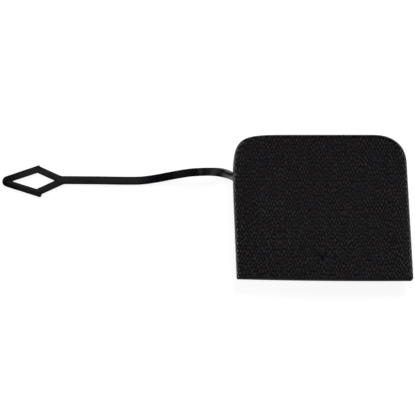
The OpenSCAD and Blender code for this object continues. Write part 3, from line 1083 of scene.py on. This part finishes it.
@dataclass(frozen=True)
class BlackPlastic:
    """Unpainted black plastic as it leaves the mould. With a grain, its reflection has painted shade in the creases
    and painted sheen on the pebbles, and it can carry a painted highlight.
    """

    name: str
    warm: tuple[float, float, float] = (0.0042, 0.0015, 0.001)
    cool: tuple[float, float, float] = (0.001, 0.0015, 0.0042)
    fleck_size: float = 1.2
    cloud_size: float = 2.0
    roughness: float = 0.34
    roughness_spread: float = 0.03
    frost_size: float = 0.16
    frost_depth: float = 0.0025
    # painted shade and sheen: the specular level in the grain's creases and on its pebbles
    crease_shade_level: float = 0.28
    pebble_sheen_level: float = 1.15
    grain: Grain | None = None
    # a painted highlight at the strap's root, mixed into the colour
    whitening: PaintedRootHighlight | None = None

    def material(self) -> bpy.types.Material:
        """Builds the finish from its values.

        Returns:
            The material.
        """
        material = bpy.data.materials.new(self.name)
        material.use_nodes = True
        tree = material.node_tree
        shader = tree.nodes["Principled BSDF"]
        place = tree.nodes.new("ShaderNodeTexCoord").outputs["Object"]

        flecks = link(tree, "ShaderNodeTexNoise", Vector=place, Scale=1 / (self.fleck_size * MM), Detail=1.0)
        strong = link(tree, "ShaderNodeMapRange", Value=flecks.outputs["Fac"])
        strong.inputs["From Min"].default_value, strong.inputs["From Max"].default_value = 0.38, 0.62
        tone = tree.nodes.new("ShaderNodeMix")
        tone.data_type = "RGBA"
        tree.links.new(strong.outputs["Result"], tone.inputs["Factor"])
        tone.inputs["A"].default_value = (*self.cool, 1)
        tone.inputs["B"].default_value = (*self.warm, 1)
        tree.links.new(tone.outputs["Result"], shader.inputs["Base Color"])
        if self.whitening is not None:
            # painted highlight: mixes the pale patch at the strap's root into the base colour
            bent = tree.nodes.new("ShaderNodeMix")
            bent.data_type = "RGBA"
            tree.links.new(self.whitening.share(tree, place), bent.inputs["Factor"])
            tree.links.new(tone.outputs["Result"], bent.inputs["A"])
            bent.inputs["B"].default_value = (*self.whitening.colour, 1)
            tree.links.new(bent.outputs["Result"], shader.inputs["Base Color"])

        gloss = link(tree, "ShaderNodeTexNoise", Vector=place, Scale=1 / (self.cloud_size * MM), Detail=2.0)
        spread = link(tree, "ShaderNodeMapRange", Value=gloss.outputs["Fac"])
        spread.inputs["To Min"].default_value = self.roughness - self.roughness_spread
        spread.inputs["To Max"].default_value = self.roughness + self.roughness_spread
        tree.links.new(spread.outputs["Result"], shader.inputs["Roughness"])

        frost = link(tree, "ShaderNodeTexNoise", Vector=place, Scale=1 / (self.frost_size * MM), Detail=2.0)
        bump = link(tree, "ShaderNodeBump", Height=frost.outputs["Fac"], Strength=1.0, Distance=self.frost_depth * MM)
        if self.grain is not None:
            pebbles = self.grain.height(tree, place)
            # painted shade in the creases and painted sheen on the pebbles, through a specular level that follows the
            # grain's height
            crease_shading = link(tree, "ShaderNodeMapRange", Value=pebbles)
            crease_shading.inputs["To Min"].default_value = self.crease_shade_level
            crease_shading.inputs["To Max"].default_value = self.pebble_sheen_level
            tree.links.new(crease_shading.outputs["Result"], shader.inputs["Specular IOR Level"])
            bump = link(
                tree, "ShaderNodeBump", Height=pebbles, Strength=1.0, Distance=self.grain.bump_depth * MM,
                Normal=bump.outputs["Normal"],
            )
        tree.links.new(bump.outputs["Normal"], shader.inputs["Normal"])
        return material


# The whole object and its studio


@dataclass
class Cover:
    """The whole moulding, joined into the one piece that it is."""

    shape: FaceShape = field(default_factory=FaceShape)
    grain: Grain = field(default_factory=Grain)
    sharp_edge: float = 50.0

    def build(self) -> bpy.types.Object:
        """Builds every part and joins them.

        Returns:
            The finished piece, in place of the CAD node.
        """
        face = FacePlate(self.shape)
        plate = face.build()
        log.info("face plate: %d faces", len(plate.data.polygons))
        self.grain.press(plate, face.grain_name)
        self.mouldings(plate)
        combine(plate, PressMark(self.shape).build(), Cut.TAKE)
        skirt, strap = Skirt(self.shape), Strap(self.shape)
        backing = skirt.build()
        combine(backing, Hooks(self.shape, skirt).build(), Cut.ADD)
        combine(backing, strap.post(), Cut.ADD)
        combine(backing, self.below_face(), Cut.KEEP)
        log.info("skirt, ribs and hooks: %d faces", len(backing.data.polygons))
        tail = strap.build()
        combine(tail, DiamondLoop(strap).build(), Cut.ADD)
        log.info("strap and loop: %d faces", len(tail.data.polygons))
        for part in (backing, tail):
            combine(plate, part, Cut.ADD)
        return self.finish(plate)

    def below_face(self) -> bpy.types.Object:
        """The space below the middle of the plate's wall, to which what stands on it is cut."""
        face = FacePlate(self.shape)
        lid, rim = face.sheet("lid", self.shape.wall / 2, face.back_counts, (face.lip_wall,) * 4, face.back_gap)
        with editing(lid) as mesh:
            bpy.ops.mesh.select_mode(type="EDGE")
            bpy.ops.mesh.select_all(action="DESELECT")
            for edge in mesh.edges:
                edge.select_set(edge.is_boundary)
            bpy.ops.mesh.extrude_region_move(TRANSFORM_OT_translate={"value": (0, 0, -0.04)})
            bpy.ops.mesh.edge_face_add()
        turn_faces_out(lid)
        dress_all(lid, Texture.SMOOTH)
        return lid

    def mouldings(self, obj: bpy.types.Object) -> None:
        """Gives a mesh the grained and the smooth finish."""
        obj.data.materials.append(BlackPlastic("grained_plastic", grain=self.grain).material())
        # the smooth plastic carries the painted highlight at the strap's root
        obj.data.materials.append(BlackPlastic("smooth_plastic", roughness=0.28, whitening=PaintedRootHighlight()).material())

    def finish(self, piece: bpy.types.Object) -> bpy.types.Object:
        """Smooths the joined mesh and puts it in place of the CAD node."""
        piece.name = "cover_moulding"
        piece.data.name = piece.name
        with editing(piece):
            bpy.ops.mesh.remove_doubles(threshold=1e-6)
        pick(piece)
        bpy.ops.object.shade_smooth_by_angle(angle=math.radians(self.sharp_edge))
        bpy.ops.object.material_slot_remove_unused()
        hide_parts("cover")
        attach(piece, "root")
        log.info("%s: %d faces", piece.name, len(piece.data.polygons))
        return piece


@dataclass(frozen=True)
class Lamp:
    """A soft rectangular lamp, with its place and size in metres and its power in watts.

    A matte_only lamp lights the plastic's own colour and shows in no reflection.
    """

    name: str
    place: tuple[float, float, float]
    size: tuple[float, float]
    power: float
    matte_only: bool = False


@dataclass
class Studio:
    """The pale floor, the soft light and the camera above the object."""

    floor_height: float = -8.05
    centre: tuple[float, float] = (-57.0, 0.25)
    view_width: float = 207.5
    lens: float = 500.0
    sensor: float = 36.0
    focus_height: float = 2.0
    room: float = 0.001
    horizon: float = 0.02
    floor_colour: float = 0.25
    floor_glow: float = 0.89
    lamps: tuple[Lamp, ...] = (
        Lamp("key_lamp", (0.3, 0.85, 1.07), (0.7, 0.7), 15.0, matte_only=True),
        Lamp("right_box", (0.98, -0.42, 0.88), (1.1, 0.5), 1.6),
        Lamp("upper_right_box", (0.78, 0.2, 1.13), (0.6, 0.5), 0.3),
        Lamp("over_box", (-0.04, 0.15, 1.4), (0.6, 0.7), 0.68),
        Lamp("left_box", (-1.31, 0.2, 0.46), (1.5, 0.5), 9.0),
        Lamp("bottom_box", (0.0, -1.2, 0.75), (0.6, 0.5), 0.9),
    )

    def build(self) -> None:
        """Sets up the floor, the world, the lamps and the camera."""
        self.floor()
        self.world()
        for lamp in self.lamps:
            self.lamp(lamp)
        self.camera()
        bpy.context.scene.view_settings.view_transform = "Standard"

    @staticmethod
    def seen(tree: bpy.types.NodeTree) -> bpy.types.NodeSocket:
        """1 for what is seen directly, in a reflection or through something clear."""
        path = tree.nodes.new("ShaderNodeLightPath").outputs
        either = maths(tree, "MAXIMUM", path["Is Camera Ray"], path["Is Glossy Ray"])
        return maths(tree, "MAXIMUM", either, path["Is Transmission Ray"])

    def floor(self) -> None:
        """A wide pale floor that shows white, and a little darker in the object's shadow."""
        deselect()
        x, y = (c * MM for c in self.centre)
        bpy.ops.mesh.primitive_plane_add(size=12, location=(x, y, self.floor_height * MM))
        floor = bpy.context.active_object
        floor.name = "floor"
        bpy.ops.object.transform_apply(location=True, rotation=True, scale=True)
        material = bpy.data.materials.new("floor")
        material.use_nodes = True
        tree = material.node_tree
        tree.nodes.remove(tree.nodes["Principled BSDF"])
        paper = link(tree, "ShaderNodeBsdfDiffuse", Color=(self.floor_colour,) * 3 + (1,))
        glow = link(tree, "ShaderNodeEmission", Color=(1, 1, 1, 1))
        tree.links.new(maths(tree, "MULTIPLY", self.seen(tree), self.floor_glow), glow.inputs["Strength"])
        both = link(tree, "ShaderNodeAddShader", in0=paper.outputs[0], in1=glow.outputs[0])
        tree.links.new(both.outputs[0], tree.nodes["Material Output"].inputs["Surface"])
        floor.data.materials.append(material)
        floor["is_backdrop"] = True

    def world(self) -> None:
        """A dim room that is seen as pale as the floor, and reflected so near the horizon only."""
        world = bpy.data.worlds.new("room")
        bpy.context.scene.world = world
        world.use_nodes = True
        tree = world.node_tree
        ground = tree.nodes["Background"]
        ground.inputs["Color"].default_value = (1, 1, 1, 1)
        direction = tree.nodes.new("ShaderNodeTexCoord").outputs["Generated"]
        parts = link(tree, "ShaderNodeSeparateXYZ", Vector=direction).outputs
        edge = link(tree, "ShaderNodeMapRange", Value=parts["Z"])
        edge.inputs["From Max"].default_value = self.horizon
        edge.inputs["To Min"].default_value = 1.0
        edge.inputs["To Max"].default_value = 0.0
        low = maths(tree, "MULTIPLY", self.seen(tree), edge.outputs["Result"])
        direct = tree.nodes.new("ShaderNodeLightPath").outputs["Is Camera Ray"]
        pale = maths(tree, "MULTIPLY", maths(tree, "MAXIMUM", low, direct), self.floor_glow)
        tree.links.new(maths(tree, "MAXIMUM", pale, self.room), ground.inputs["Strength"])

    def lamp(self, lamp: Lamp) -> None:
        """Adds a lamp that points at the middle of the object."""
        light = bpy.data.lights.new(lamp.name, "AREA")
        light.shape = "RECTANGLE"
        light.size, light.size_y = lamp.size
        light.energy = lamp.power
        obj = bpy.data.objects.new(lamp.name, light)
        bpy.context.scene.collection.objects.link(obj)
        aim = Vector((self.centre[0] * MM, self.centre[1] * MM, 0))
        obj.location = aim + Vector(lamp.place)
        obj.rotation_euler = (aim - obj.location).to_track_quat("-Z", "Y").to_euler()
        obj.visible_glossy = not lamp.matte_only

    def camera(self) -> None:
        """A long lens straight above, with the photograph's frame."""
        data = bpy.data.cameras.new("camera")
        data.lens, data.sensor_width = self.lens, self.sensor
        data.clip_start, data.clip_end = 0.1, 50.0
        camera = bpy.data.objects.new("camera", data)
        bpy.context.scene.collection.objects.link(camera)
        away = self.view_width * self.lens / self.sensor
        camera.location = [c * MM for c in (*self.centre, self.focus_height + away)]
        bpy.context.scene.camera = camera


def corners(box: tuple[Vector, Vector]) -> list[list[float]]:
    """A box as plain lists of numbers."""
    return [list(corner) for corner in box]


def main() -> None:
    """Builds the cover and its studio."""
    logging.basicConfig(level=logging.INFO, format="%(name)s: %(message)s")
    Cover().build()
    Studio().build()
    {"cad": corners(CAD_BOX), "visual": corners(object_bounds())}


if __name__ == "__main__":
    main()
